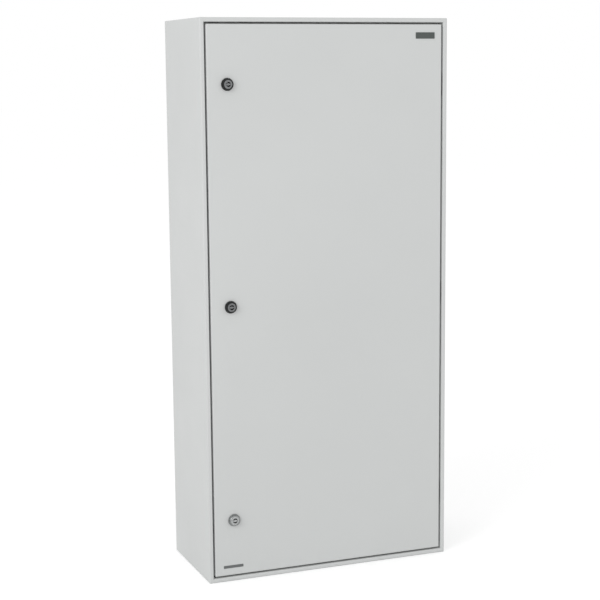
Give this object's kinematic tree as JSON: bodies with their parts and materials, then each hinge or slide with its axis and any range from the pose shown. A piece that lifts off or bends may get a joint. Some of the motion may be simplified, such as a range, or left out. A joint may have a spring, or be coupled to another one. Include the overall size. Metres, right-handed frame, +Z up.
{
  "type": "floor-standing cabinet",
  "caption": "Tall folded sheet-steel cabinet with an inset door, quarter-turn cam locks, concealed hinges, a perforated door stiffener and an inner mounting plate.",
  "frame": {"origin": "on the floor under the middle of the cabinet, halfway between the front of the lock heads and the back", "axes": "+X to the right seen from the front, +Y to the back, +Z up; the door faces -Y"},
  "size_m": [0.59, 0.274, 1.26],
  "materials": {
    "carcass_paint": "light grey powder coat, fine texture",
    "door_paint": "light grey powder coat, fine texture",
    "galvanised": "galvanised sheet",
    "zinc_plate": "bright zinc plate",
    "bright_steel": "turned steel",
    "lock_dark": "dark zinc casting, satin",
    "lock_bright": "nickel-plated casting, satin",
    "core_dark": "dark zinc casting, satin",
    "core_bright": "nickel-plated casting, satin",
    "foam": "foamed-in-place gasket",
    "rubber_seal": "moulded rubber"
  },
  "bodies": {
    "cabinet": {"left_side_panel": "carcass_paint", "right_side_panel": "carcass_paint", "roof_panel": "carcass_paint", "base_panel": "carcass_paint", "rear_panel": "carcass_paint", "rear_panel_screws": "zinc_plate", "roof_gland_plate": "galvanised", "roof_gland_gasket": "foam", "base_gland_plate": "galvanised", "base_gland_gasket": "foam", "gland_plate_screws": "zinc_plate", "mounting_plate": "galvanised", "plate_studs": "zinc_plate", "plate_spacers": "zinc_plate", "plate_nuts": "zinc_plate", "cabinet_earth_stud": "zinc_plate", "upper_hinge_bracket": "zinc_plate", "middle_hinge_bracket": "zinc_plate", "lower_hinge_bracket": "zinc_plate", "hinge_pins": "bright_steel", "hinge_screws": "zinc_plate"},
    "door": {"door_leaf": "door_paint", "door_gasket": "foam", "left_door_rail": "galvanised", "right_door_rail": "galvanised", "door_earth_stud": "zinc_plate", "upper_hinge_knuckle": "zinc_plate", "middle_hinge_knuckle": "zinc_plate", "lower_hinge_knuckle": "zinc_plate", "upper_lock_housing": "lock_dark", "middle_lock_housing": "lock_dark", "lower_lock_housing": "lock_bright", "lock_seals": "rubber_seal", "lock_nuts": "zinc_plate"},
    "upper_latch": {"upper_lock_core": "core_dark", "upper_lock_cam": "zinc_plate", "upper_cam_screw": "zinc_plate"},
    "middle_latch": {"middle_lock_core": "core_dark", "middle_lock_cam": "zinc_plate", "middle_cam_screw": "zinc_plate"},
    "lower_latch": {"lower_lock_core": "core_bright", "lower_lock_cam": "zinc_plate", "lower_cam_screw": "zinc_plate"}
  },
  "joints": [
    {"name": "door_swing", "type": "hinge", "parent": "cabinet", "child": "door", "pos_m": [0.272, -0.121, 0.63], "axis": [0, 0, 1], "range_deg": [0, 120]},
    {"name": "upper_latch_turn", "type": "hinge", "parent": "door", "child": "upper_latch", "pos_m": [-0.235, -0.128, 1.117], "axis": [0, 1, 0], "range_deg": [0, 90]},
    {"name": "middle_latch_turn", "type": "hinge", "parent": "door", "child": "middle_latch", "pos_m": [-0.235, -0.128, 0.63], "axis": [0, 1, 0], "range_deg": [0, 90]},
    {"name": "lower_latch_turn", "type": "hinge", "parent": "door", "child": "lower_latch", "pos_m": [-0.235, -0.128, 0.143], "axis": [0, 1, 0], "range_deg": [0, 90]}
  ]
}
